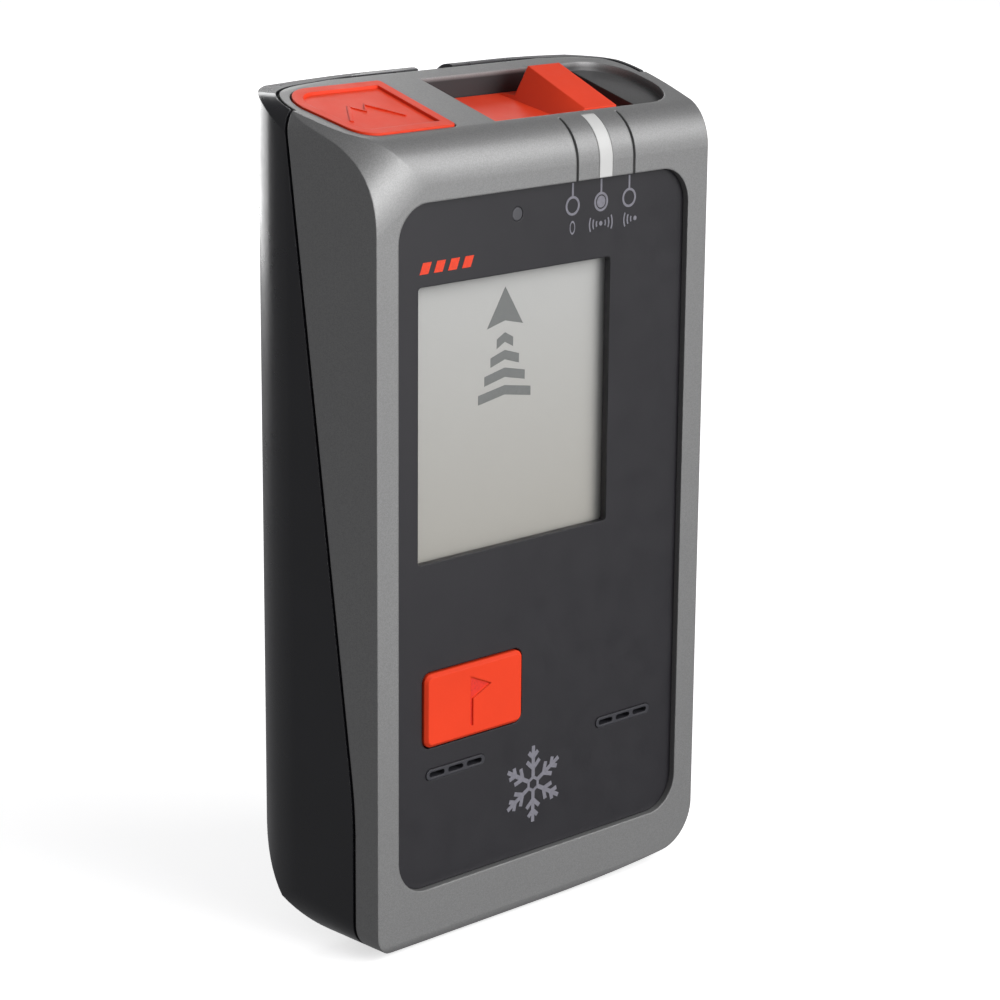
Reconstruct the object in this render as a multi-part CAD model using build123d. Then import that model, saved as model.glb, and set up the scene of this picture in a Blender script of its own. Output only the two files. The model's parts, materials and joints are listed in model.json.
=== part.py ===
from build123d import *
import os
from functools import lru_cache
from math import radians, tan, sin, cos

# Avalanche transceiver, upright: X to the right, Y to the back, Z up, display facing -Y.
# Origin: centre of the flat back face. Millimetres.

# ---- driving dimensions ---------------------------------------------------------------
FRONT_W = 60.4          # width across the flat front
DEPTH = 27.0            # front plane to back face
TOP_Z = 57.7            # highest point, on the rear housing
BOTTOM_Z = -57.5        # lowest point
FLARE = 11.0            # degrees that each side leans out towards the back
TOP_SLOPE = 15.3        # degrees that the top rises to the back
NOSE_R = 6.3            # rounding between front and top
NOSE_Z = 46.5           # height of that rounding's centre
BACK_R = 11.0           # upright rounding between side and back
CROWN_R = 3.4           # rounding between top and back
HEEL_D = 22.0           # rounding between bottom and back: depth
HEEL_H = 34.0           # and height
LOW_RIGHT_R = 6.5       # rounding of the lower right corner
LOW_LEFT_R = 3.0        # rounding of the lower left corner at the front
LOW_LEFT_BACK_R = 10.0  # and at the back
BOW = 2.2               # rise of the bottom edge towards its right end
BOW_LEFT = 0.5          # and towards its left end
ARCH = 1.3              # fall of the top towards both sides
TOP_LEFT_R = 4.5        # rounding of the upper left corner
TOP_RIGHT_R = 3.5       # and of the upper right corner
HEEL_CURVE = 0.448      # where the heel's curve handles end, as a part of its depth and height
FOOT_R = 1.6            # rounding between front and bottom
BOW_X = -8.0            # where the bottom edge is lowest
SHOULDER_REACH = 6.0    # how far left of the front's edge the slanted shoulder starts
SHOULDER_SLANT = 0.7    # its rise for each millimetre to the right
WALL = 1.9              # housing wall
SEAM_GAP = 0.5          # visible groove between the two housings
SEAM_TOP_Y, SEAM_LOW_Y = -12.05, -23.3      # seam's depth at the top and at the bottom
LID_HALF, LID_BACK, LID_R, LID_Z = 31.2, -4.7, 7.0, 47.0    # front housing's reach over the top
RUN = 0.3               # clearance round moving pieces
FIT = 0.05              # clearance round pieces that sit in a pocket

FRONT_Y = -DEPTH
HALF_W = FRONT_W / 2
NOSE_Y = FRONT_Y + NOSE_R
SLOPE = tan(radians(TOP_SLOPE))
SLOPE_Y = NOSE_Y - NOSE_R * sin(radians(TOP_SLOPE))     # where the sloped top starts
SLOPE_Z = NOSE_Z + NOSE_R * cos(radians(TOP_SLOPE))

# front panel and what sits in it
PANEL_X = 26.5          # half width
PANEL_TOP = 44.2
PANEL_BOTTOM = -49.5
PANEL_R = 5.0
PANEL_FACE = FRONT_Y + 0.9
PANEL_T = 1.5
WINDOW = (-22.4, 12.4, -4.0, 33.1)      # left, right, bottom, top of the display window
LENS_FACE = FRONT_Y + 2.0
LENS_T = 0.9
LED_X, LED_Z, LED_R = -5.0, 40.8, 0.9
BUTTON = (-21.4, -3.6, -29.6, -19.3)    # left, right, bottom, top of the flag button
BUTTON_R = 1.2
BUTTON_RISE = 0.6       # above the panel
FLAG_D = 0.25           # depth of the flag pressed into the button
PORT_X = (-15.6, 16.4)                  # sound ports
PORT_Z = -33.6
PORT_L, PORT_H = 10.6, 1.5
PORT_PITCH = 3.4                        # between the slots of one sound port

# mode slider on top
MODE_PITCH = 5.35       # between two switch positions
SEND_X = 10.4           # mark of the middle position
CHANNEL = (-5.5, 30.1, -22.2, -7.2)     # left, right, front, back of its recess
SLIDER_LEFT, RAMP_FOOT, RAMP_HEAD, SLIDER_RIGHT = -5.8, 8.5, 11.3, 17.2
PLATE_SINK = (1.5, 3.0)  # slider's low plate below the housing's top, at the front and the back
HEAD_RISE = (0.1, 2.1)   # slider's head above it, at the front and the back
HEAD_BACK = -10.6       # where the head ends
TRACK_SINK = 4.4        # floor under the slider
TRACK_LEFT, TRACK_RIGHT = -11.5, 22.9
SCOOP_SINK = 1.2        # shallow scoop to the right of the track
SCOOP_R = 6.5           # its rounded right end
GROOVE_W, GROOVE_D = 0.44, 0.45         # grooves beside the mark
MARK_W, MARK_D = 2.4, 0.8               # inlaid mark of the sending position
MARK_BACK = -23.2

# leash plug, the coloured tile on top
TILE_RIGHT = -12.3
TILE_FRONT, TILE_BACK = -22.1, -6.8
TILE_T = 2.4
TILE_GAP = 0.25         # round the tile
PLUG_X, PLUG_Y = -21.6, -14.2
PLUG_W, PLUG_D, PLUG_L = 7.0, 4.0, 8.0
PLUG_GAP = 0.35         # round the plug's blade
EYE_W = 6.2             # leash notch at the middle of the rear top edge
EYE_Y, EYE_Z, EYE_R = -2.4, TOP_Z - 1.6, 0.8

# inside
BOARD = (-24.5, 24.5, -44.0, 40.0)
BOARD_Y, BOARD_T = -19.8, 1.0
AAA_R, AAA_L = 5.15, 43.6
CELL_Y = -8.1
CELL_Z = (-8.4, -19.4, -30.4)
BAY = (-26.2, 26.2, -36.4, -2.4)        # battery bay: left, right, bottom, top
BAY_FRONT = CELL_Y - AAA_R - 0.4
DOOR_T = 2.4            # battery door
DOOR_SEAL_T = 0.3
DOOR_TOP = 8.6
LOCK_X, LOCK_Z, LOCK_R = 0.0, 4.7, 3.0
SCREWS = ((-21.5, 37.0), (21.5, 37.0), (-21.5, -43.5), (21.5, -43.5))
BOSS_START, BOSS_END, BOSS_R = -24.2, -12.6, 2.7
COIL_GAP = 0.03
ANTENNAS = {            # centre, axis, core radius and length, coil radius and length
    "cross": (0, -9.0, 8.8, "X", 2.8, 46.0, 4.2, 26.0),
    "upright": (13.5, -9.5, 29.0, "Z", 2.8, 29.0, 4.2, 18.0),
    "depth": (-6.0, -10.5, 26.0, "Y", 2.2, 9.0, 4.4, 6.0),
}


def block(x0, x1, y0, y1, z0, z1):
    return Pos((x0 + x1) / 2, (y0 + y1) / 2, (z0 + z1) / 2) * Box(x1 - x0, y1 - y0, z1 - z0)


def upright_plate(x0, x1, z0, z1, y0, y1, r):
    """Rounded rectangle in XZ, from y0 back to y1."""
    plane = Plane(origin=((x0 + x1) / 2, y0, (z0 + z1) / 2), x_dir=(1, 0, 0), z_dir=(0, 1, 0))
    return extrude(plane * RectangleRounded(x1 - x0, z1 - z0, r), y1 - y0)


def rod(x, y, z, r, length, axis):
    """Cylinder centred on a point, along the named axis."""
    turn = {"X": Rotation(0, 90, 0), "Y": Rotation(90, 0, 0), "Z": Rotation(0, 0, 0)}[axis]
    return Pos(x, y, z) * turn * Cylinder(r, length)


def profile_z(y):
    return SLOPE_Z + (y - SLOPE_Y) * SLOPE


# ---- outer shape ----------------------------------------------------------------------
def side_profile(t):
    """Solid under the side view, inset by t; wider than the body."""
    front, top, bottom = FRONT_Y + t, TOP_Z - t, BOTTOM_Z + t
    nose = NOSE_R - t
    lean = radians(TOP_SLOPE)
    a = (NOSE_Y - nose * sin(lean), NOSE_Z + nose * cos(lean))
    mid = radians(45 + TOP_SLOPE / 2)
    arc_mid = (NOSE_Y - nose * sin(mid), NOSE_Z + nose * cos(mid))
    crest_y = a[0] + (top - a[1]) / SLOPE
    heel_y, heel_z = HEEL_D - t, HEEL_H - t
    crown = CROWN_R - t if t < 1 else 0.5
    with BuildSketch(Plane.YZ.offset(-45)) as sk:
        with BuildLine():
            Line((front, bottom + FOOT_R), (front, NOSE_Z))
            ThreePointArc((front, NOSE_Z), arc_mid, a)
            Line(a, (crest_y, top))
            Line((crest_y, top), (-t - crown, top))
            RadiusArc((-t - crown, top), (-t, top - crown), crown)
            Line((-t, top - crown), (-t, bottom + heel_z))
            Bezier((-t, bottom + heel_z), (-t, bottom + HEEL_CURVE * heel_z),
                   (-t - HEEL_CURVE * heel_y, bottom), (-t - heel_y, bottom))
            Line((-t - heel_y, bottom), (front + FOOT_R, bottom))
            RadiusArc((front + FOOT_R, bottom), (front, bottom + FOOT_R), FOOT_R)
        make_face()
    return extrude(sk.sketch, 90)


def plan_section(t):
    """Solid inside the top view, inset by t."""
    lean = tan(radians(FLARE))
    front = HALF_W - t / cos(radians(FLARE)) + t * lean
    back = front + (DEPTH - 2 * t) * lean
    face = Polygon((-front, FRONT_Y + t), (front, FRONT_Y + t), (back, -t), (-back, -t), align=None)
    corners = face.vertices().group_by(Axis.Y)[-1]
    return Pos(0, 0, -70) * extrude(fillet(corners, BACK_R - t), 140)


def front_outline(y, t):
    """Front view of the body at one depth: large lower right corner, bowed bottom."""
    half = HALF_W - t / cos(radians(FLARE)) + (y - FRONT_Y) * tan(radians(FLARE))
    low = BOTTOM_Z + t
    low_left = LOW_LEFT_R + (LOW_LEFT_BACK_R - LOW_LEFT_R) * (y - FRONT_Y) / DEPTH
    side_top = TOP_Z - ARCH - t
    with BuildLine() as outline:
        Line((-half, low + BOW_LEFT), (-half, side_top))
        ThreePointArc((-half, side_top), (0, TOP_Z + 0.15 - t), (half, side_top))
        Line((half, side_top), (half, low + BOW))
        ThreePointArc((half, low + BOW), (BOW_X, low), (-half, low + BOW_LEFT))
    face = make_face(outline.line)
    high = face.vertices().sort_by(Axis.Y)[-2:].sort_by(Axis.X)
    face = fillet(high[0], TOP_LEFT_R - t)
    right = face.vertices().filter_by(lambda v: v.X > half - 0.01).sort_by(Axis.Y)
    face = fillet(right[-1], TOP_RIGHT_R - t)
    feet = face.vertices().sort_by(Axis.Y)[:2].sort_by(Axis.X)
    face = fillet(feet[-1], LOW_RIGHT_R - t)
    left = face.vertices().filter_by(lambda v: v.X < 0).sort_by(Axis.Y)
    face = fillet(left[0], max(low_left - t, 0.3))
    return Plane(origin=(0, y, 0), x_dir=(1, 0, 0), z_dir=(0, -1, 0)) * face


def outline_solid(t):
    """Solid inside the front view, its sides flaring to the back."""
    return loft([front_outline(FRONT_Y - 1, t), front_outline(1, t)], ruled=True)


def shoulder_keep(t):
    """Solid under the slanted shoulder that softens the upper left edge."""
    with BuildSketch(Plane.YZ.offset(-HALF_W - SHOULDER_REACH)) as sk:
        with BuildLine():
            s = Spline((FRONT_Y, 40.5), (-25.3, 47.85), (-21.2, 52.3), (-14.8, 55.5), (-8.0, 58.2),
                       tangents=[(0, 1), (1, 0.38)])
            Polyline(s @ 1, (2, 59.6), (2, -160), (FRONT_Y - 2, -160), (FRONT_Y - 2, 40.5), s @ 0)
        make_face()
    lowered = Pos(0, 0, -SHOULDER_REACH * SHOULDER_SLANT - t * 1.3) * sk.sketch
    return extrude(lowered, 110, dir=(1, 0, SHOULDER_SLANT))


@lru_cache(maxsize=None)
def envelope(t=0.0):
    return side_profile(t) & plan_section(t) & outline_solid(t) & shoulder_keep(t)


# ---- regions that divide the two housings ---------------------------------------------
def front_region(grow=0.0):
    """Everything in front of the seam, and the lid that reaches back over the top."""
    with BuildSketch(Plane.YZ.offset(-45)) as sk:
        with BuildLine():
            a = Line((SEAM_TOP_Y + grow, 60), (-22.8 + grow, -32.5))
            b = TangentArc(a @ 1, (SEAM_LOW_Y + grow, -43.0), tangent=a % 1)
            Polyline(b @ 1, (SEAM_LOW_Y + grow, -70), (-40, -70), (-40, 60), a @ 0)
        make_face()
    lid = Pos(0, (LID_BACK + grow - 40) / 2, 0) * RectangleRounded(
        2 * (LID_HALF + grow), LID_BACK + grow + 40, LID_R + grow)
    return extrude(sk.sketch, 90) + Pos(0, 0, LID_Z - grow) * extrude(lid, 20)


def window_plate(grow, y0, y1, r):
    x0, x1, z0, z1 = WINDOW
    return upright_plate(x0 - grow, x1 + grow, z0 - grow, z1 + grow, y0, y1, r)


def port_plate(x, grow, y0, y1):
    h = PORT_H / 2 + grow
    return upright_plate(x - PORT_L / 2 - grow, x + PORT_L / 2 + grow, PORT_Z - h, PORT_Z + h,
                         y0, y1, h - 0.01)


def button_plate(grow, y0, y1):
    x0, x1, z0, z1 = BUTTON
    return upright_plate(x0 - grow, x1 + grow, z0 - grow, z1 + grow, y0, y1, BUTTON_R + grow)


# ---- top features ---------------------------------------------------------------------
def tile_prism(grow):
    """Plan of the leash plug's tile: left edge follows the flared side."""
    lean = tan(radians(FLARE))
    left_front = -HALF_W + 3.2 - (TILE_FRONT - FRONT_Y) * lean
    left_back = -HALF_W + 3.2 - (TILE_BACK - FRONT_Y) * lean
    face = Polygon((left_front, TILE_FRONT), (TILE_RIGHT, TILE_FRONT), (TILE_RIGHT, TILE_BACK),
                   (left_back, TILE_BACK), align=None)
    face = fillet(face.vertices().group_by(Axis.Y)[0].sort_by(Axis.X)[0], 3.6)
    face = fillet(face.vertices().group_by(Axis.Y)[-1].sort_by(Axis.X)[0], 5.0)
    face = fillet([face.vertices().sort_by(Axis.X)[-1], face.vertices().sort_by(Axis.X)[-2]], 0.6)
    if grow:
        face = offset(face, grow)
    return extrude(Pos(0, 0, 40) * face, 22)


def channel_prism(grow, left, right):
    x0, x1 = left - grow, right + grow
    y0, y1 = CHANNEL[2:]
    face = Polygon((x0, y0 - grow), (x1, y0 - grow), (x1, y1 + grow), (x0, y1 + grow), align=None)
    ends = face.vertices().sort_by(Axis.X)[-2:]
    if right == CHANNEL[1]:
        face = fillet(ends, SCOOP_R)
    return extrude(Pos(0, 0, 40) * face, 22)


def sunk(outer, depth):
    """The outer solid lowered, to cut floors that follow the sloped top."""
    return Pos(0, 0, -depth) * outer


def top_pans(outer):
    """Floors and walls under the tile, the slider's track and the scoop."""
    pan = (tile_prism(1.3) & sunk(outer, TILE_T + 0.1)) - sunk(outer, TILE_T + 1.4)
    tray = channel_prism(1.3, TRACK_LEFT, TRACK_RIGHT) & sunk(outer, TRACK_SINK)
    tray = tray - sunk(outer, TRACK_SINK + 1.2)
    curb = channel_prism(1.3, TRACK_LEFT, TRACK_RIGHT) - channel_prism(0, TRACK_LEFT, TRACK_RIGHT)
    rim = tile_prism(1.3) - tile_prism(TILE_GAP)
    skirts = ((curb + rim) & outer) - sunk(outer, TRACK_SINK + 1.2)
    scoop = channel_prism(1.3, TRACK_RIGHT, CHANNEL[1]) & sunk(outer, SCOOP_SINK)
    return pan + tray + skirts + (scoop - sunk(outer, SCOOP_SINK + 1.3))


def cut_top(body, outer):
    """Pockets for the tile, the slider's track and the scoop."""
    body = body - (tile_prism(TILE_GAP) - sunk(outer, TILE_T + 0.1))
    body = body - (channel_prism(0, TRACK_LEFT, TRACK_RIGHT) - sunk(outer, TRACK_SINK)) + ridge(outer)
    return body - (channel_prism(0, TRACK_RIGHT, CHANNEL[1]) - sunk(outer, SCOOP_SINK))


def cut_front(body):
    """Front panel pocket and the openings behind it."""
    body = body - upright_plate(-PANEL_X, PANEL_X, PANEL_BOTTOM, PANEL_TOP,
                                FRONT_Y - 1, PANEL_FACE + PANEL_T + FIT, PANEL_R)
    body = body - window_plate(1.3, FRONT_Y, -18, 0.6)
    body = body - button_plate(1.4, FRONT_Y, -18)
    for x in PORT_X:
        body = body - port_plate(x, 0.4, FRONT_Y, -18)
    return body - rod(LED_X, -24, LED_Z, LED_R + 0.6, 12, "Y")


def cut_marks(body, outer):
    """Grooves beside the mark, and the mark's own slot."""
    skin = outer - (Pos(0, GROOVE_D, -GROOVE_D) * outer)
    half = GROOVE_W / 2
    for x in (SEND_X - MODE_PITCH, SEND_X + MODE_PITCH):
        body = body - (skin & block(x - half, x + half, FRONT_Y - 1, MARK_BACK, PANEL_TOP - 1, 56))
    return body - marker_band(outer, FIT)


def front_housing(outer, inner):
    shell = (outer - inner) & front_region()
    seat = block(-40, 40, FRONT_Y + WALL - 0.01, PANEL_FACE + PANEL_T + 1.3, -60, 50) & inner
    body = shell + ((seat + top_pans(outer)) & front_region())
    body = cut_marks(cut_front(cut_top(body, outer)), outer)
    for x, z in SCREWS:
        body = body + rod(x, (BOSS_START + BOSS_END) / 2, z, BOSS_R, BOSS_END - BOSS_START, "Y")
        body = body - rod(x, BOSS_END - 4.0, z, 0.95, 8.2, "Y")
    return body - plug_hole(44, 53)


def plug_hole(z0, z1):
    w, d = PLUG_W / 2 + PLUG_GAP, PLUG_D / 2 + PLUG_GAP
    return block(PLUG_X - w, PLUG_X + w, PLUG_Y - d, PLUG_Y + d, z0, z1)


def ridge(outer):
    """Top bar between the tile and the slider; the slider's plate runs under it."""
    bar = block(TRACK_LEFT - 0.2, CHANNEL[0], CHANNEL[2] - 0.2, CHANNEL[3] + 0.2, 40, 62)
    return (bar & outer) - sunk(outer, 1.2)


def marker_band(outer, grow):
    w = MARK_W / 2 + grow
    skin = outer - (Pos(0, MARK_D + grow, -MARK_D - grow) * outer)
    return skin & block(SEND_X - w, SEND_X + w, FRONT_Y - 1, MARK_BACK + grow, PANEL_TOP + 0.02, 56)


def rear_housing(outer, inner):
    x0, x1, z0, z1 = BAY
    tub = block(x0 - 2.6, x1 + 2.6, BAY_FRONT - 1.2, -1, z0 - 2.6, z1 + 11.6) & inner
    tub = tub - block(-30, 30, BAY_FRONT - 2, -4.0, z1 + 1.2, z1 + 12)
    shell = outer - inner + tub
    for x, z in SCREWS:
        shell = shell + (rod(x, (BOSS_END - 1) / 2, z, BOSS_R, abs(BOSS_END + 0.2) - 1, "Y") & outer)
    shell = shell - front_region(SEAM_GAP)
    shell = shell - block(x0, x1, BAY_FRONT, 1, z0, z1)
    shell = shell - (door_prism(0.2) - envelope(DOOR_T + DOOR_SEAL_T))
    shell = shell - rod(LOCK_X, -5, LOCK_Z, 2.4, 12, "Y")
    for x, z in SCREWS:
        shell = shell - rod(x, -7, z, 1.25, 16, "Y") - rod(x, -2.5, z, 2.3, 7, "Y")
    # notch and bar for the leash at the middle of the top edge
    shell = shell - block(-EYE_W / 2, EYE_W / 2, LID_BACK - 0.2, 1, TOP_Z - 3.6, TOP_Z + 1)
    return shell


def door_prism(grow):
    x0, x1, z0, _ = BAY
    return upright_plate(x0 - 1.6 - grow, x1 + 1.6 + grow, z0 - 1.8 - grow, DOOR_TOP + grow,
                         -9, 2, 3.0 + grow)


def battery_door(outer):
    door = (door_prism(0) & outer) - envelope(DOOR_T)
    door = door - rod(LOCK_X, -0.2, LOCK_Z, LOCK_R + 0.15, 3.0, "Y")
    door = door - rod(LOCK_X, -1, LOCK_Z, 1.7, 8, "Y")
    return door


def door_seal():
    ring = door_prism(-0.3) - block(BAY[0] - 0.3, BAY[1] + 0.3, -10, 3, BAY[2] - 0.3, BAY[3] + 0.3)
    ring = ring - block(-40, 40, -10, 3, BAY[3] + 1.6, 20)
    return (ring & envelope(DOOR_T + 0.02)) - envelope(DOOR_T + DOOR_SEAL_T - 0.02)


def door_lock():
    head = rod(LOCK_X, -0.85, LOCK_Z, LOCK_R, 1.6, "Y")
    stud = rod(LOCK_X, -3.2, LOCK_Z, 1.5, 3.4, "Y")
    return head + stud - block(-2.4, 2.4, -0.75, 1, LOCK_Z - 0.55, LOCK_Z + 0.55)


def front_panel():
    plate = upright_plate(-PANEL_X + FIT, PANEL_X - FIT, PANEL_BOTTOM + FIT, PANEL_TOP - FIT,
                          PANEL_FACE, PANEL_FACE + PANEL_T, PANEL_R - FIT)
    plate = plate - window_plate(0, -30, -20, 0.5)
    plate = plate - window_plate(1.25, LENS_FACE, -20, 0.6)
    plate = plate - button_plate(0.25, -30, -20)
    for x in PORT_X:
        plate = plate - port_plate(x, FIT, -30, -20)
    return plate - rod(LED_X, -25, LED_Z, LED_R + FIT, 12, "Y")


def sound_grille(x):
    bar = port_plate(x, 0, PANEL_FACE - 0.12, PANEL_FACE + PANEL_T)
    for k in (-1, 0, 1):
        cx = x + k * PORT_PITCH
        bar = bar - upright_plate(cx - 1.35, cx + 1.35, PORT_Z - 0.36, PORT_Z + 0.36, -30, -20, 0.35)
    return bar


def flag_outline(x, z):
    """Pennant on a pole; x and z are the button's centre."""
    corners = [(-0.9, 3.4), (-0.9, -3.6), (-0.4, -3.6), (-0.4, 0.2), (2.9, 1.7)]
    return Polygon(*[(x + u, z + v) for u, v in corners], align=None)


def flag_button():
    face, back = PANEL_FACE - BUTTON_RISE, PANEL_FACE + PANEL_T
    cap = button_plate(0, face, back)
    cap = chamfer(cap.faces().sort_by(Axis.Y)[0].edges(), 0.45)
    neck = button_plate(-0.6, back - 0.1, back + 0.2)
    flange = button_plate(1.0, back + FIT, back + 0.75)
    cx, cz = (BUTTON[0] + BUTTON[1]) / 2, (BUTTON[2] + BUTTON[3]) / 2
    stem = rod(cx, -23.0, cz, 1.6, 2.0, "Y")
    plane = Plane(origin=(0, face + FLAG_D, 0), x_dir=(1, 0, 0), z_dir=(0, -1, 0))
    return cap + neck + flange + stem - extrude(plane * flag_outline(cx, cz), 2, dir=(0, -1, 0))


def slider_section(y, end):
    """Slider cut across its travel at the front (end 0) or the back (end 1)."""
    base = profile_z(y)
    low, high, deep = base - PLATE_SINK[end], base + HEAD_RISE[end], base - TRACK_SINK + 0.15
    face = Polygon((SLIDER_LEFT, deep), (SLIDER_LEFT, low), (RAMP_FOOT, low), (RAMP_HEAD, high),
                   (SLIDER_RIGHT, high), (SLIDER_RIGHT, deep), align=None)
    return Plane(origin=(0, y, 0), x_dir=(1, 0, 0), z_dir=(0, -1, 0)) * face


def mode_slider():
    """Low plate, ramp and raised head, lofted up the sloped top."""
    y0, y1 = CHANNEL[2] + RUN, CHANNEL[3] - RUN
    body = loft([slider_section(y0, 0), slider_section(y1, 1)], ruled=True)
    plate_z = profile_z(y1) - PLATE_SINK[1]
    body = body - block(RAMP_FOOT - 1, SLIDER_RIGHT + 1, HEAD_BACK, y1 + 1, plate_z, plate_z + 9)
    return body - magnet_rod(0.04, 2.6)


def magnet_rod(grow, extra):
    x, y = (RAMP_HEAD + SLIDER_RIGHT) / 2, -14.7
    z = profile_z(y) - 3.1
    return rod(x, y, z + 1.8 - extra / 2, 2.4 + grow, 1.8 + extra, "Z")


def leash_plug(outer):
    tile = (tile_prism(0) & sunk(outer, -0.2)) - sunk(outer, TILE_T)
    tile = tile - (tile_prism(-1.5) - sunk(outer, 0.15))
    top = profile_z(PLUG_Y) - TILE_T + 0.8
    blade = block(PLUG_X - PLUG_W / 2, PLUG_X + PLUG_W / 2, PLUG_Y - PLUG_D / 2, PLUG_Y + PLUG_D / 2,
                  top - PLUG_L - 2, top)
    return tile + (blade & outer)


def leash_socket():
    w, d = PLUG_W / 2 + 1.4, PLUG_D / 2 + 1.4
    z1 = profile_z(PLUG_Y - PLUG_D / 2 - 1.4) - TILE_T - 2.6
    tube = block(PLUG_X - w, PLUG_X + w, PLUG_Y - d, PLUG_Y + d, z1 - 7.0, z1)
    return tube - plug_hole(z1 - 6.1, z1 + 1)


def switch_board():
    """Small board under the slider with one magnetic sensor for each position."""
    x = (RAMP_HEAD + SLIDER_RIGHT) / 2
    z = profile_z(-20.5) - 6.4
    board = block(x - 8.5, x + 8.5, -18.5, -8.5, z - 0.8, z)
    for k in (-1, 0, 1):
        board = board + block(x + k * MODE_PITCH - 1, x + k * MODE_PITCH + 1, -15, -12.5, z, z + 0.7)
    return board


def detent_leaf():
    y = CHANNEL[3]
    z = profile_z(y) - TRACK_SINK + 0.15
    return block(2.0, 16.0, y - 0.22, y - 0.02, z, z + 1.0)


def display_lens():
    return window_plate(1.2, LENS_FACE + 0.02, LENS_FACE + LENS_T, 0.5)


def lcd_module():
    return window_plate(1.0, LENS_FACE + LENS_T + 0.02, -22.4, 0.3)


def backlight():
    return window_plate(0.9, -22.38, -21.1, 0.3)


def lcd_holder():
    ring = window_plate(2.0, -23.2, -20.85, 0.8) - window_plate(1.08, -23.9, -21.05, 0.35)
    ring = ring - window_plate(-3, -25, -19, 1.0)
    for x, z in SCREWS[:2]:
        ring = ring - rod(x, -22, z, 2.8, 6, "Y")
    return ring


def main_board():
    x0, x1, z0, z1 = BOARD
    board = upright_plate(x0, x1, z0, z1, BOARD_Y - BOARD_T, BOARD_Y, 1.5)
    for x, z in SCREWS:
        side = 1 if x > 0 else -1
        board = board - rod(x, BOARD_Y, z, 3.1, 6, "Y")
        board = board - block(min(x, side * 30), max(x, side * 30), -25, -15, z - 3.1, z + 10)
    return board


def dome_switch():
    cx, cz = (BUTTON[0] + BUTTON[1]) / 2, (BUTTON[2] + BUTTON[3]) / 2
    y = BOARD_Y - BOARD_T
    return rod(cx, y - 0.16, cz, 2.6, 0.3, "Y")


def shield_can():
    y = BOARD_Y + 0.02
    can = block(-18, 2, y, y + 2.2, 18, 34)
    return can - block(-17.7, 1.7, y - 0.1, y + 1.9, 18.3, 33.7)


def processor():
    return block(-12, -4, BOARD_Y + 0.02, BOARD_Y + 1.2, 22, 30)


def speaker():
    return rod(PORT_X[0] + 1.6, -22.1, -37.6, 6.2, 1.8, "Y")


def light_pipe():
    pin = rod(LED_X, (PANEL_FACE + 0.05 - 22.6) / 2, LED_Z, LED_R, abs(PANEL_FACE + 0.05 + 22.6), "Y")
    return pin + rod(LED_X, -24.05, LED_Z, LED_R + 0.5, 0.8, "Y")


def status_led():
    return block(LED_X - 0.8, LED_X + 0.8, -22.4, -21.7, LED_Z - 0.5, LED_Z + 0.5)


def antenna(x, y, z, axis, core_r, core_l, coil_r, coil_l):
    core = rod(x, y, z, core_r, core_l, axis)
    coil = rod(x, y, z, coil_r, coil_l, axis) - rod(x, y, z, core_r + COIL_GAP, coil_l + 2, axis)
    return core, coil


def battery(k):
    z = CELL_Z[k]
    side = 1 if k % 2 == 0 else -1
    can = rod(-side * 0.9, CELL_Y, z, AAA_R, AAA_L - 0.8, "X")
    return can + rod(side * (AAA_L / 2 - 0.9), CELL_Y, z, 1.9, 1.4, "X")


def contact_plates(side):
    plates = []
    for z in CELL_Z:
        plates.append(block(min(side * 25.7, side * 26.15), max(side * 25.7, side * 26.15),
                            CELL_Y - 4.4, CELL_Y + 4.4, z - 4.6, z + 4.6))
    return Compound(children=plates)


def battery_springs():
    springs = []
    for k, z in enumerate(CELL_Z):
        side = -1 if k % 2 == 0 else 1
        helix = Helix(pitch=0.95, height=2.5, radius=3.6, cone_angle=-14)
        wire = sweep(Plane(origin=helix @ 0, z_dir=helix % 0) * Circle(0.28), path=helix)
        turn = Rotation(0, -90 * side, 0)
        springs.append(Pos(side * 25.35, CELL_Y, z) * turn * wire)
    return Compound(children=springs)


def housing_screws():
    screws = []
    for x, z in SCREWS:
        head = rod(x, -5.15, z, 2.0, 1.6, "Y") - block(x - 1.5, x + 1.5, -5.0, -4, z - 0.25, z + 0.25)
        head = head - block(x - 0.25, x + 0.25, -5.0, -4, z - 1.5, z + 1.5)
        screws.append(head + rod(x, -11.2, z, 0.9, 10.6, "Y"))
    return Compound(children=screws)


def housing_seal():
    band = front_region(SEAM_GAP - 0.02) - front_region(0.02)
    return (band & envelope(0.4)) - envelope(WALL)


def vibration_motor():
    return rod(-19.5, -16.0, 14.0, 2.2, 9.0, "Z")


def write(node, shape):
    export_step(shape, "parts/" + node + ".step")


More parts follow.
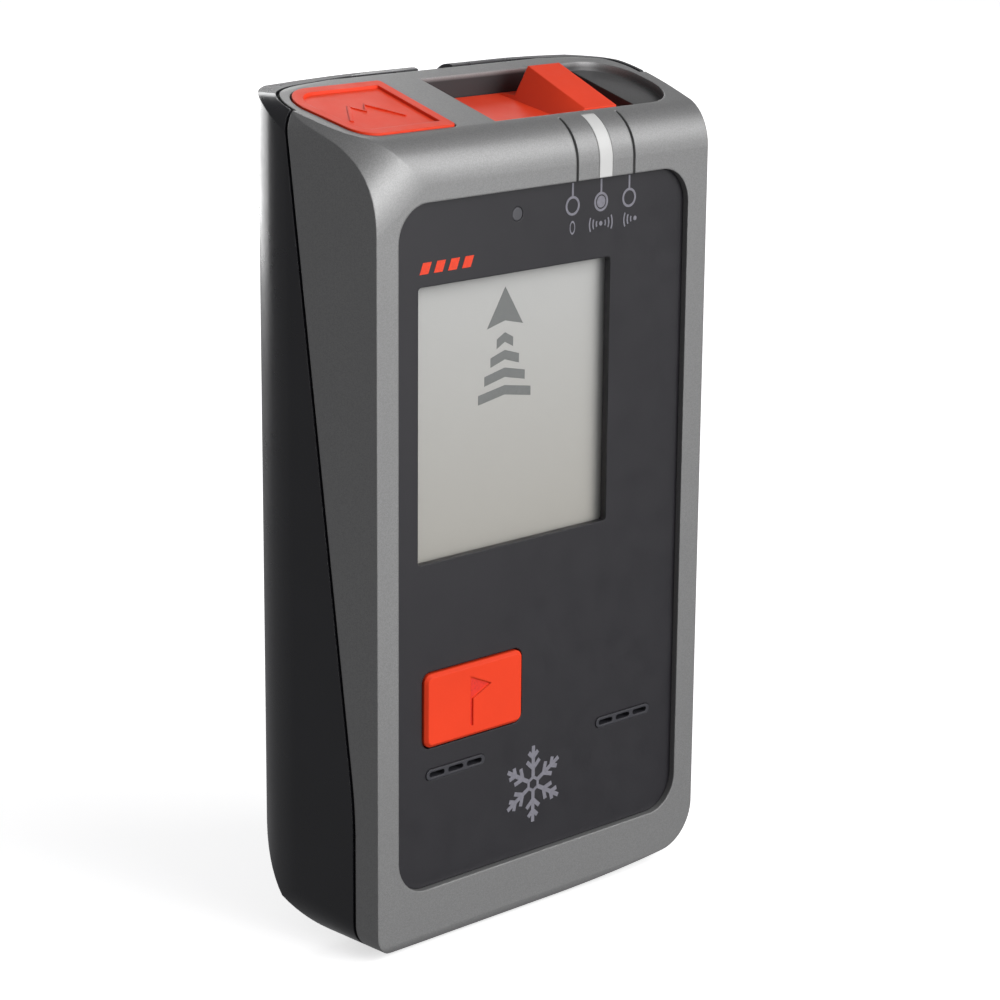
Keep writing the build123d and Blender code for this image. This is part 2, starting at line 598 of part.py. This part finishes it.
def main():
    os.makedirs("parts", exist_ok=True)
    outer, inner = envelope(), envelope(WALL)
    write("front_housing", front_housing(outer, inner))
    write("rear_housing", rear_housing(outer, inner))
    write("housing_seal", housing_seal())
    write("front_panel", front_panel())
    write("display_lens", display_lens())
    write("lcd_module", lcd_module())
    write("backlight", backlight())
    write("lcd_holder", lcd_holder())
    write("sound_grille_left", sound_grille(PORT_X[0]))
    write("sound_grille_right", sound_grille(PORT_X[1]))
    write("send_marker", marker_band(outer, 0))
    write("light_pipe", light_pipe())
    write("status_led", status_led())
    write("flag_button", flag_button())
    write("dome_switch", dome_switch())
    write("mode_slider", mode_slider())
    write("slider_magnet", magnet_rod(0, 0))
    write("detent_leaf", detent_leaf())
    write("switch_board", switch_board())
    write("leash_plug", leash_plug(outer))
    write("leash_socket", leash_socket())
    write("leash_bar", rod(0, EYE_Y, EYE_Z, EYE_R, EYE_W - 0.02, "X"))
    write("main_board", main_board())
    write("shield_can", shield_can())
    write("processor", processor())
    write("speaker", speaker())
    write("vibration_motor", vibration_motor())
    for name, dims in ANTENNAS.items():
        core, coil = antenna(*dims)
        write("antenna_core_" + name, core)
        write("antenna_coil_" + name, coil)
    for k in range(len(CELL_Z)):
        write("battery_" + str(k + 1), battery(k))
    write("battery_contacts_left", contact_plates(-1))
    write("battery_contacts_right", contact_plates(1))
    write("battery_springs", battery_springs())
    write("battery_door", battery_door(outer))
    write("battery_door_seal", door_seal())
    write("door_lock", door_lock())
    write("housing_screws", housing_screws())


main()
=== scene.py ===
import json
import math
import bmesh
import bpy
from mathutils import Matrix, Vector


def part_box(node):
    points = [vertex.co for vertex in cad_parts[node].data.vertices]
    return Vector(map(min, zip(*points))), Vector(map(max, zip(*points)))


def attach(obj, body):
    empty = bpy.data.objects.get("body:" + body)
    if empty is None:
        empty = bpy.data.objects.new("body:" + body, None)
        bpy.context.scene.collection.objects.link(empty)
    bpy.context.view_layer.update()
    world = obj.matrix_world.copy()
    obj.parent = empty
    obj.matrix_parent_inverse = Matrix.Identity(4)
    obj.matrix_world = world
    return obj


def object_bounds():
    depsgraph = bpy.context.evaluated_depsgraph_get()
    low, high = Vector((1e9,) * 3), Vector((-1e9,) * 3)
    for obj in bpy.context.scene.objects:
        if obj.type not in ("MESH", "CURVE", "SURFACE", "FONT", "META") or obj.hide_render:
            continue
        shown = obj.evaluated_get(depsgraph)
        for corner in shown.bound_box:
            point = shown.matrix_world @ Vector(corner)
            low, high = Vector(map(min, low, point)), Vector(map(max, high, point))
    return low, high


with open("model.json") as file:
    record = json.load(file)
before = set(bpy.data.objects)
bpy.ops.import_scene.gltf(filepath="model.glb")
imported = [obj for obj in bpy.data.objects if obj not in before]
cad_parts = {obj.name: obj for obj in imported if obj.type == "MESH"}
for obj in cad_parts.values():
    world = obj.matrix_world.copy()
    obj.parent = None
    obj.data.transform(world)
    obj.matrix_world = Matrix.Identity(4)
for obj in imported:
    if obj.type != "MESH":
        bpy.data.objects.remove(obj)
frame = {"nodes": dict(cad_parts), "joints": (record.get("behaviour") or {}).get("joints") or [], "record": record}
cad_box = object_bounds()
NODES = frame["nodes"]
MM = 0.001

# ---- the body's sloped top and the slider's recess in it, in metres ---------------------
TOP_TILT = math.radians(15.3)
TOP_SLOPE = math.tan(TOP_TILT)
TOP_NORMAL = Vector((0, -math.sin(TOP_TILT), math.cos(TOP_TILT)))
TOP_START = Vector((0, -0.02236, 0.05258))
TOP_HEIGHT = TOP_START.dot(TOP_NORMAL)
# limits of the painted shade in the slider's recess, and how far it fades towards the open right end
RECESS_LEFT, RECESS_RIGHT = -0.0056, 0.0302
RECESS_SHADE_FADE = 0.011
slider_low, slider_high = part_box("mode_slider")

# ---- places taken from the frame, in millimetres --------------------------------------
panel_low, panel_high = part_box("front_panel")
PANEL_FACE = panel_low.y / MM
lcd_low, lcd_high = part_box("lcd_module")
LCD_FACE = lcd_low.y / MM
LCD_BORDER = 1.0        # hidden behind the panel on each side
WINDOW_LEFT = lcd_low.x / MM + LCD_BORDER
WINDOW_TOP = lcd_high.z / MM - LCD_BORDER
button_low, button_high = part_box("flag_button")
led_low, led_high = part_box("light_pipe")
LED_Z = (led_low.z + led_high.z) / 2 / MM
mark_low, mark_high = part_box("send_marker")
SEND_X = (mark_low.x + mark_high.x) / 2 / MM
slide = next(j for j in frame["joints"] if j["name"] == "mode_slide")
PITCH = slide["range_m"][1] / MM


# ---- materials ------------------------------------------------------------------------
class Shade:
    """One procedural material on a Principled shader, patterned in object coordinates."""

    def __init__(self, name):
        self.mat = bpy.data.materials.new(name)
        self.mat.use_nodes = True
        self.tree = self.mat.node_tree
        self.shader = self.tree.nodes["Principled BSDF"]
        self.place = self.add("ShaderNodeTexCoord").outputs["Object"]

    def add(self, kind, **settings):
        node = self.tree.nodes.new(kind)
        for key, value in settings.items():
            setattr(node, key, value)
        return node

    def link(self, a, b):
        self.tree.links.new(a, b)

    def constant(self, **values):
        for key, value in values.items():
            self.shader.inputs[key.replace("_", " ")].default_value = value

    def noise(self, scale, detail=3.0, rough=0.55, stretch=None):
        node = self.add("ShaderNodeTexNoise")
        node.inputs["Scale"].default_value = scale
        node.inputs["Detail"].default_value = detail
        node.inputs["Roughness"].default_value = rough
        where = self.place
        if stretch:
            mapping = self.add("ShaderNodeMapping")
            mapping.inputs["Scale"].default_value = stretch
            self.link(where, mapping.inputs["Vector"])
            where = mapping.outputs["Vector"]
        self.link(where, node.inputs["Vector"])
        return node.outputs["Fac"]

    def spread(self, fac, low, high, start=0.3, end=0.7):
        node = self.add("ShaderNodeMapRange")
        for key, value in zip(("From Min", "From Max", "To Min", "To Max"), (start, end, low, high)):
            node.inputs[key].default_value = value
        self.link(fac, node.inputs["Value"])
        return node.outputs["Result"]

    def mix(self, fac, a, b):
        node = self.add("ShaderNodeMix", data_type="RGBA")
        for socket, value in ((node.inputs[6], a), (node.inputs[7], b)):
            if isinstance(value, bpy.types.NodeSocket):
                self.link(value, socket)
            else:
                socket.default_value = (*value[:3], 1.0)
        self.link(fac, node.inputs[0])
        return node.outputs[2]

    def colour(self, socket):
        self.link(socket, self.shader.inputs["Base Color"])

    def roughness(self, socket):
        self.link(socket, self.shader.inputs["Roughness"])

    def bump(self, height, strength, depth, under=None):
        node = self.add("ShaderNodeBump")
        node.inputs["Strength"].default_value = strength
        node.inputs["Distance"].default_value = depth
        self.link(height, node.inputs["Height"])
        if under:
            self.link(under, node.inputs["Normal"])
        self.link(node.outputs["Normal"], self.shader.inputs["Normal"])

    def inside(self, socket, low, high, soft=0.00008):
        """1 between two limits, 0 outside."""
        up = self.spread(socket, 0.0, 1.0, low, low + soft)
        down = self.spread(socket, 1.0, 0.0, high - soft, high)
        return self.product(up, down)

    def product(self, a, b):
        node = self.add("ShaderNodeMath", operation="MULTIPLY")
        self.link(a, node.inputs[0])
        self.link(b, node.inputs[1])
        return node.outputs[0]

    def soft_edges(self, radius):
        node = self.add("ShaderNodeBevel", samples=4)
        node.inputs["Radius"].default_value = radius
        return node.outputs["Normal"]


def tint(base, k):
    return tuple(min(1.0, c * k) for c in base)


def moulded(name, base, rough, grain, depth, vary=0.08, edge=0.00025, **constants):
    """Moulded or painted plastic: drifting tone, uneven gloss, fine grain, softened edges."""
    s = Shade(name)
    s.constant(**constants)
    drift = s.mix(s.spread(s.noise(70.0), 0, 1), tint(base, 1 - vary), tint(base, 1 + vary))
    scuff = s.spread(s.noise(900.0, 5.0, 0.7, (1.0, 1.0, 0.25)), 0, 0.35, 0.62, 0.8)
    s.colour(s.mix(scuff, drift, tint(base, 1.5)))
    s.roughness(s.spread(s.noise(260.0, 4.0), rough - 0.05, rough + 0.06))
    s.bump(s.noise(grain, 2.0), 0.35, depth, s.soft_edges(edge))
    return s


def recess_shade_mask(s):
    """The slider's recess is painted dark as shade, lighter towards its open right end where more light reaches.
    """
    axes = s.add("ShaderNodeSeparateXYZ")
    s.link(s.place, axes.inputs["Vector"])
    height = s.add("ShaderNodeVectorMath", operation="DOT_PRODUCT")
    height.inputs[1].default_value = TOP_NORMAL
    s.link(s.place, height.inputs[0])
    deep = s.spread(height.outputs["Value"], 1.0, 0.0, TOP_HEIGHT - 0.0007, TOP_HEIGHT - 0.0002)
    across = s.inside(axes.outputs["X"], RECESS_LEFT, RECESS_RIGHT)
    along = s.inside(axes.outputs["Y"], slider_low.y - 0.0004, slider_high.y + 0.0004)
    fade = s.spread(axes.outputs["X"], 1.0, 0.45, RECESS_RIGHT - RECESS_SHADE_FADE, RECESS_RIGHT)
    return s.product(s.product(deep, fade), s.product(across, along))


def silver_paint():
    """Satin metallic paint: fine bright and dark flakes over grey, with painted shade in the slider's recess."""
    base = (0.285, 0.285, 0.285)
    s = Shade("silver_paint")
    s.constant(Metallic=0.5, Coat_Weight=0.15, Coat_Roughness=0.4)
    flake = s.add("ShaderNodeTexVoronoi", feature="F1")
    flake.inputs["Scale"].default_value = 9000.0
    s.link(s.place, flake.inputs["Vector"])
    apart = s.add("ShaderNodeSeparateColor")
    s.link(flake.outputs["Color"], apart.inputs["Color"])
    flecks = s.mix(s.spread(apart.outputs["Red"], 0, 1, 0.0, 1.0), tint(base, 0.88), tint(base, 1.12))
    drift = s.spread(s.noise(60.0), 0, 0.3)
    painted = s.mix(drift, flecks, tint(base, 0.9))
    # painted shade: near-black on the surfaces sunk into the slider's recess
    s.colour(s.mix(recess_shade_mask(s), painted, (0.035, 0.035, 0.037)))
    s.roughness(s.spread(apart.outputs["Green"], 0.40, 0.47, 0.0, 1.0))
    s.bump(s.noise(3500.0, 2.0), 0.3, 0.00002, s.soft_edges(0.0003))
    return s


def printed(name, base):
    """Flat print with a slightly uneven tone."""
    s = Shade(name)
    s.constant(Roughness=0.55)
    s.colour(s.mix(s.spread(s.noise(2500.0), 0, 1), tint(base, 0.88), tint(base, 1.1)))
    s.bump(s.noise(5000.0), 0.2, 0.00001)
    return s


def display():
    """Grey reflective display: faint pixel grid, and painted light that makes it lighter towards the top."""
    s = Shade("lcd")
    s.constant(Specular_IOR_Level=0.3, Roughness=0.5)
    axes = s.add("ShaderNodeSeparateXYZ")
    s.link(s.place, axes.inputs["Vector"])
    # painted light: lighter towards the display's top, darker towards its bottom
    top_light = s.spread(axes.outputs["Z"], 0, 1, -0.004, 0.033)
    base = s.mix(top_light, (0.435, 0.41, 0.36), (0.575, 0.57, 0.555))
    grid = s.add("ShaderNodeTexBrick", offset=0.0)
    grid.inputs["Scale"].default_value = 1600.0
    grid.inputs["Mortar Size"].default_value = 0.03
    grid.inputs["Color1"].default_value = (1, 1, 1, 1)
    grid.inputs["Color2"].default_value = (1, 1, 1, 1)
    grid.inputs["Mortar"].default_value = (0, 0, 0, 1)
    turn = s.add("ShaderNodeMapping")
    turn.inputs["Rotation"].default_value = (math.pi / 2, 0, 0)
    s.link(s.place, turn.inputs["Vector"])
    s.link(turn.outputs["Vector"], grid.inputs["Vector"])
    fade = s.spread(grid.outputs["Color"], 0.06, 0.0, 0.0, 1.0)
    s.colour(s.mix(fade, base, (0.2, 0.2, 0.19)))
    s.bump(s.noise(1200.0), 0.05, 0.00001)
    return s


def lens():
    """Thin clear cover with a slightly uneven gloss."""
    s = Shade("lens")
    s.constant(Alpha=0.1, Base_Color=(0.8, 0.82, 0.82, 1))
    s.roughness(s.spread(s.noise(400.0), 0.05, 0.12))
    return s


def metal(name, base, rough, stretch):
    """Bare metal; stretch scales its fine noise on each axis, so that it runs in lines."""
    s = Shade(name)
    s.constant(Metallic=1.0)
    s.colour(s.mix(s.spread(s.noise(300.0), 0, 1), tint(base, 0.85), tint(base, 1.1)))
    s.roughness(s.spread(s.noise(1500.0, 4.0, 0.6, stretch), rough - 0.08, rough + 0.1))
    s.bump(s.noise(4000.0, 3.0, 0.6, stretch), 0.25, 0.00002)
    return s


ORANGE = (0.97, 0.058, 0.014)
SHADES = {
    "silver_paint": silver_paint(),
    "black_gloss": moulded("black_gloss", (0.013, 0.013, 0.017), 0.3, 1800.0, 0.00002, 0.15,
                           Coat_Weight=0.4, Coat_Roughness=0.15),
    "dark_lock": moulded("dark_lock", (0.03, 0.03, 0.032), 0.45, 2500.0, 0.00003),
    "gasket": moulded("gasket", (0.010, 0.009, 0.009), 0.75, 2600.0, 0.00004),
    "panel": moulded("panel", (0.017, 0.016, 0.020), 0.42, 4200.0, 0.00003, 0.06),
    "lens": lens(),
    "lcd": display(),
    "light_guide": moulded("light_guide", (0.10, 0.10, 0.11), 0.25, 900.0, 0.00001),
    "inner_plastic": moulded("inner_plastic", (0.045, 0.045, 0.048), 0.5, 2200.0, 0.00003),
    "grille": moulded("grille", (0.040, 0.040, 0.048), 0.45, 2600.0, 0.00003),
    "white_mark": moulded("white_mark", (0.70, 0.70, 0.69), 0.35, 1600.0, 0.00001, 0.03),
    "orange_rubber": moulded("orange_rubber", ORANGE, 0.55, 3200.0, 0.00004, 0.06,
                             Specular_IOR_Level=0.25),
    "orange_plastic": moulded("orange_plastic", ORANGE, 0.45, 2200.0, 0.00003, 0.06,
                              Specular_IOR_Level=0.3),
    "steel": metal("steel", (0.56, 0.56, 0.57), 0.3, (1.0, 0.15, 1.0)),
    "circuit": moulded("circuit", (0.012, 0.10, 0.045), 0.35, 1500.0, 0.00003),
    "chip": moulded("chip", (0.02, 0.02, 0.021), 0.55, 3000.0, 0.00004),
    "battery_jacket": moulded("battery_jacket", (0.09, 0.09, 0.10), 0.35, 1200.0, 0.00001),
    "ferrite": moulded("ferrite", (0.05, 0.05, 0.055), 0.6, 2800.0, 0.00005),
    "copper": metal("copper", (0.55, 0.22, 0.09), 0.32, (1.0, 1.0, 8.0)),
}
PRINT_GREY = printed("print_grey", (0.22, 0.215, 0.25)).mat
PRINT_ORANGE = printed("print_orange", ORANGE).mat
# painted shade: darker orange for the floor of the button's flag deboss
FLAG_SHADE = printed("flag_shade", (0.86, 0.030, 0.012)).mat
PRINT_LCD = printed("print_lcd", (0.085, 0.09, 0.085)).mat

for part in frame["record"]["subparts"]:
    node = NODES[part["node"]]
    node.data.materials.clear()
    node.data.materials.append(SHADES[part["material_slot"]].mat)


# ---- outlines in the front view, millimetres ------------------------------------------
def arc(cx, cz, r, a0, a1, n=24):
    steps = (math.radians(a0 + (a1 - a0) * k / n) for k in range(n + 1))
    return [(cx + r * math.cos(a), cz + r * math.sin(a)) for a in steps]


def stroke(points, width, closed=False):
    """Quads that follow a line with a given width."""
    pts = [Vector(p) for p in points]
    n = len(pts)
    sides = []
    for k, p in enumerate(pts):
        before = pts[(k - 1) % n] if closed or k else p
        after = pts[(k + 1) % n] if closed or k < n - 1 else p
        run = (after - before).normalized()
        across = Vector((-run.y, run.x)) * width / 2
        sides.append((p + across, p - across))
    last = n if closed else n - 1
    return [(sides[k][0], sides[(k + 1) % n][0], sides[(k + 1) % n][1], sides[k][1])
            for k in range(last)]


def ring(cx, cz, r, width, n=40):
    return stroke(arc(cx, cz, r, 0, 360 - 360 / n, n - 1), width, closed=True)


def disc(cx, cz, r, n=32):
    return [arc(cx, cz, r, 0, 360 - 360 / n, n - 1)]


def decal(name, faces, lift, thick, material, body):
    """Thin raised print: each outline is lifted from the front view to its surface by lift(x, z)."""
    bm = bmesh.new()
    for level, outline in enumerate(faces):
        front = []
        back = []
        height = thick * (1 + 0.4 * level / len(faces))
        for x, z in outline:
            base, out = lift(x, z)
            back.append(bm.verts.new((base - out * thick * 0.3) * MM))
            front.append(bm.verts.new((base + out * height) * MM))
        bm.faces.new(front)
        bm.faces.new(back[::-1])
        for k in range(len(front)):
            j = (k + 1) % len(front)
            bm.faces.new((front[k], back[k], back[j], front[j]))
    bmesh.ops.recalc_face_normals(bm, faces=bm.faces)
    mesh = bpy.data.meshes.new(name)
    bm.to_mesh(mesh)
    bm.free()
    obj = bpy.data.objects.new(name, mesh)
    bpy.context.scene.collection.objects.link(obj)
    mesh.materials.append(material)
    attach(obj, body)
    return obj


def on_panel(x, z):
    return Vector((x, PANEL_FACE, z)), Vector((0, -1, 0))


def on_display(x, z):
    return Vector((x, LCD_FACE + 0.002, z)), Vector((0, -1, 0))


# mode marks: three rings on stems, the middle one filled, a sign under each
RING_Z, RING_R, LINE = LED_Z, 1.15, 0.34
STEM_TOP = panel_high.z / MM - 0.25
marks = []
for k in (-1, 0, 1):
    x = SEND_X + k * PITCH
    marks += ring(x, RING_Z, RING_R, LINE)
    marks += stroke([(x, RING_Z + RING_R), (x, STEM_TOP)], LINE)
marks += disc(SEND_X, RING_Z, RING_R - LINE)
SIGN_Z = RING_Z - 2.95
off_x, seek_x = SEND_X - PITCH, SEND_X + PITCH
marks += [[(x * 0.55 + off_x, z + SIGN_Z) for x, z in quad] for quad in ring(0, 0, 0.8, 0.26)]
marks += disc(SEND_X, SIGN_Z, 0.32)
marks += disc(seek_x + 1.2, SIGN_Z, 0.32)
for r in (0.85, 1.5, 2.15):
    for turn in (0, 180):
        marks += stroke(arc(SEND_X, SIGN_Z, r, turn - 26, turn + 26, 10), 0.24)
        if turn:
            marks += stroke(arc(seek_x + 1.2, SIGN_Z, r, turn - 26, turn + 26, 10), 0.24)
decal("mode_signs", marks, on_panel, 0.03, PRINT_GREY, "housing")

# four plain orange bars above the display
BAR_PITCH = 2.45
bar = []
for k in range(4):
    x = WINDOW_LEFT + 0.2 + BAR_PITCH * k
    z = WINDOW_TOP + 1.7
    bar.append([(x, z), (x + 1.5, z), (x + 2.1, z + 1.5), (x + 0.6, z + 1.5)])
decal("orange_bars", bar, on_panel, 0.03, PRINT_ORANGE, "housing")

# flag in the button's shallow recess, painted darker orange as shade on its floor
FLAG_X = (button_low.x + button_high.x) / 2 / MM
FLAG_Z = (button_low.z + button_high.z) / 2 / MM
FLAG_DEPTH = 0.25
FLAG_FLOOR = button_low.y / MM + FLAG_DEPTH


def on_button(x, z):
    return Vector((x + FLAG_X, FLAG_FLOOR, z + FLAG_Z)), Vector((0, -1, 0))


flag = [[(-0.45, 3.05), (2.55, 1.7), (-0.45, 0.4)],
        [(-0.85, 3.2), (-0.45, 3.05), (-0.45, -3.5), (-0.85, -3.5)]]
decal("button_flag_shade", flag, on_button, 0.02, FLAG_SHADE, "flag_button")

# plain snowflake badge
BADGE_X, BADGE_Z, BADGE_R = -1.0, -39.6, 5.6
BADGE = Vector((BADGE_X, BADGE_Z))
flake = []
hexagon = []
for k in range(6):
    turn = Matrix.Rotation(math.radians(60 * k), 2)
    hexagon.append(tuple(BADGE + turn @ Vector((0, 1.0))))
    arm = [[(0, 0.9), (0, BADGE_R)]]
    for at, size in ((2.3, 1.5), (3.9, 1.1)):
        for side in (-1, 1):
            arm.append([(0, at), (side * size * 0.8, at + size * 0.75)])
    for line in arm:
        flake += stroke([tuple(turn @ Vector(p) + BADGE) for p in line], 0.62)
flake += stroke(hexagon, 0.5, closed=True)
decal("snowflake_badge", flake, on_panel, 0.03, PRINT_GREY, "housing")

# display: arrow with a stepped tail
AX, AZ = -5.2, 30.9
arrow = [[(AX, AZ), (AX - 3.3, AZ - 5.4), (AX, AZ - 4.6)],
         [(AX, AZ), (AX, AZ - 4.6), (AX + 3.3, AZ - 5.4)]]
for k, half in enumerate((1.5, 2.6, 3.7, 4.8)):
    z = AZ - 7.0 - 2.4 * k
    arrow.append([(AX - half, z), (AX, z + 0.8), (AX + half, z), (AX + half, z - 1.3),
                  (AX, z - 0.5), (AX - half, z - 1.3)])
decal("display_arrow", arrow, on_display, 0.012, PRINT_LCD, "housing")


# raised peak on the floor of the leash tile's shallow pocket, following its slope
tile_top = max((v.co for v in NODES["leash_plug"].data.vertices), key=lambda c: c.z)
PEAK_SINK = 0.4         # the peak's middle, below the tile's rim


def on_tile(x, y):
    z = tile_top.z / MM + (y - tile_top.y / MM) * TOP_SLOPE
    return Vector((x, y, z - PEAK_SINK)), TOP_NORMAL


PX, PY = -21.3, -15.6
PEAK_LINE = [(-4.6, -1.6), (-1.6, 2.6), (-0.2, 0.8), (1.2, 2.8), (4.6, -1.6)]
peak = stroke([(PX + x, PY + y) for x, y in PEAK_LINE], 0.55)
decal("tile_peak", peak, on_tile, 0.16, SHADES["orange_plastic"].mat, "leash_plug")


# ---- floor, light, camera -------------------------------------------------------------
FLOOR_HALF = 6.0
FLOOR_GAP = 0.0004


def stage_floor():
    """White backdrop that glows to the camera only, so that it doesn't light the object."""
    z = cad_box[0][2] - FLOOR_GAP
    bm = bmesh.new()
    bm.faces.new([bm.verts.new((x * FLOOR_HALF, y * FLOOR_HALF, z))
                  for x, y in ((-1, -1), (1, -1), (1, 1), (-1, 1))])
    mesh = bpy.data.meshes.new("floor")
    bm.to_mesh(mesh)
    bm.free()
    floor = bpy.data.objects.new("floor", mesh)
    bpy.context.scene.collection.objects.link(floor)
    s = Shade("floor")
    s.constant(Roughness=0.9, Specular_IOR_Level=0.1)
    s.constant(Emission_Color=(1, 1, 1, 1), Emission_Strength=0.62)
    s.colour(s.mix(s.spread(s.noise(3.0), 0, 1), (0.90, 0.90, 0.90), (0.93, 0.93, 0.93)))
    mesh.materials.append(s.mat)
    floor.visible_diffuse = False
    floor.visible_glossy = False


def softbox(name, place, width, height, watts):
    """Area light aimed at the origin."""
    data = bpy.data.lights.new(name, "AREA")
    data.shape = "RECTANGLE"
    data.size = width
    data.size_y = height
    data.energy = watts
    lamp = bpy.data.objects.new(name, data)
    bpy.context.scene.collection.objects.link(lamp)
    lamp.location = place
    lamp.rotation_euler = (-Vector(place)).to_track_quat("-Z", "Y").to_euler()


stage_floor()
softbox("key", (0.45, -0.75, 0.6), 0.9, 0.6, 5.6)
softbox("front", (0.25, -1.1, 0.1), 0.9, 0.9, 9.0)
softbox("back", (0.55, 0.95, 0.62), 0.7, 0.35, 2.5)
softbox("rear", (0.1, 1.1, 0.12), 0.9, 0.6, 5.0)
world = bpy.data.worlds.new("studio")
bpy.context.scene.world = world
world.use_nodes = True
world.node_tree.nodes["Background"].inputs["Color"].default_value = (0.9, 0.9, 0.92, 1)
world.node_tree.nodes["Background"].inputs["Strength"].default_value = 0.25
bpy.context.scene.view_settings.view_transform = "Standard"

CAMERA_PLACE = (-0.2740, -0.3103, 0.1078)
CAMERA_RIGHT = Vector((0.7313, -0.6821, 0.0085))
CAMERA_UP = Vector((0.1721, 0.1966, 0.9653))
CAMERA_FORWARD = Vector((0.6600, 0.7045, -0.2612))
data = bpy.data.cameras.new("camera")
data.sensor_width = 36.0
data.lens = 108.5
data.clip_start = 0.01
camera = bpy.data.objects.new("camera", data)
bpy.context.scene.collection.objects.link(camera)
facing = Matrix((CAMERA_RIGHT, CAMERA_UP, -CAMERA_FORWARD)).transposed()
camera.matrix_world = Matrix.Translation(CAMERA_PLACE) @ facing.to_4x4()
bpy.context.scene.camera = camera
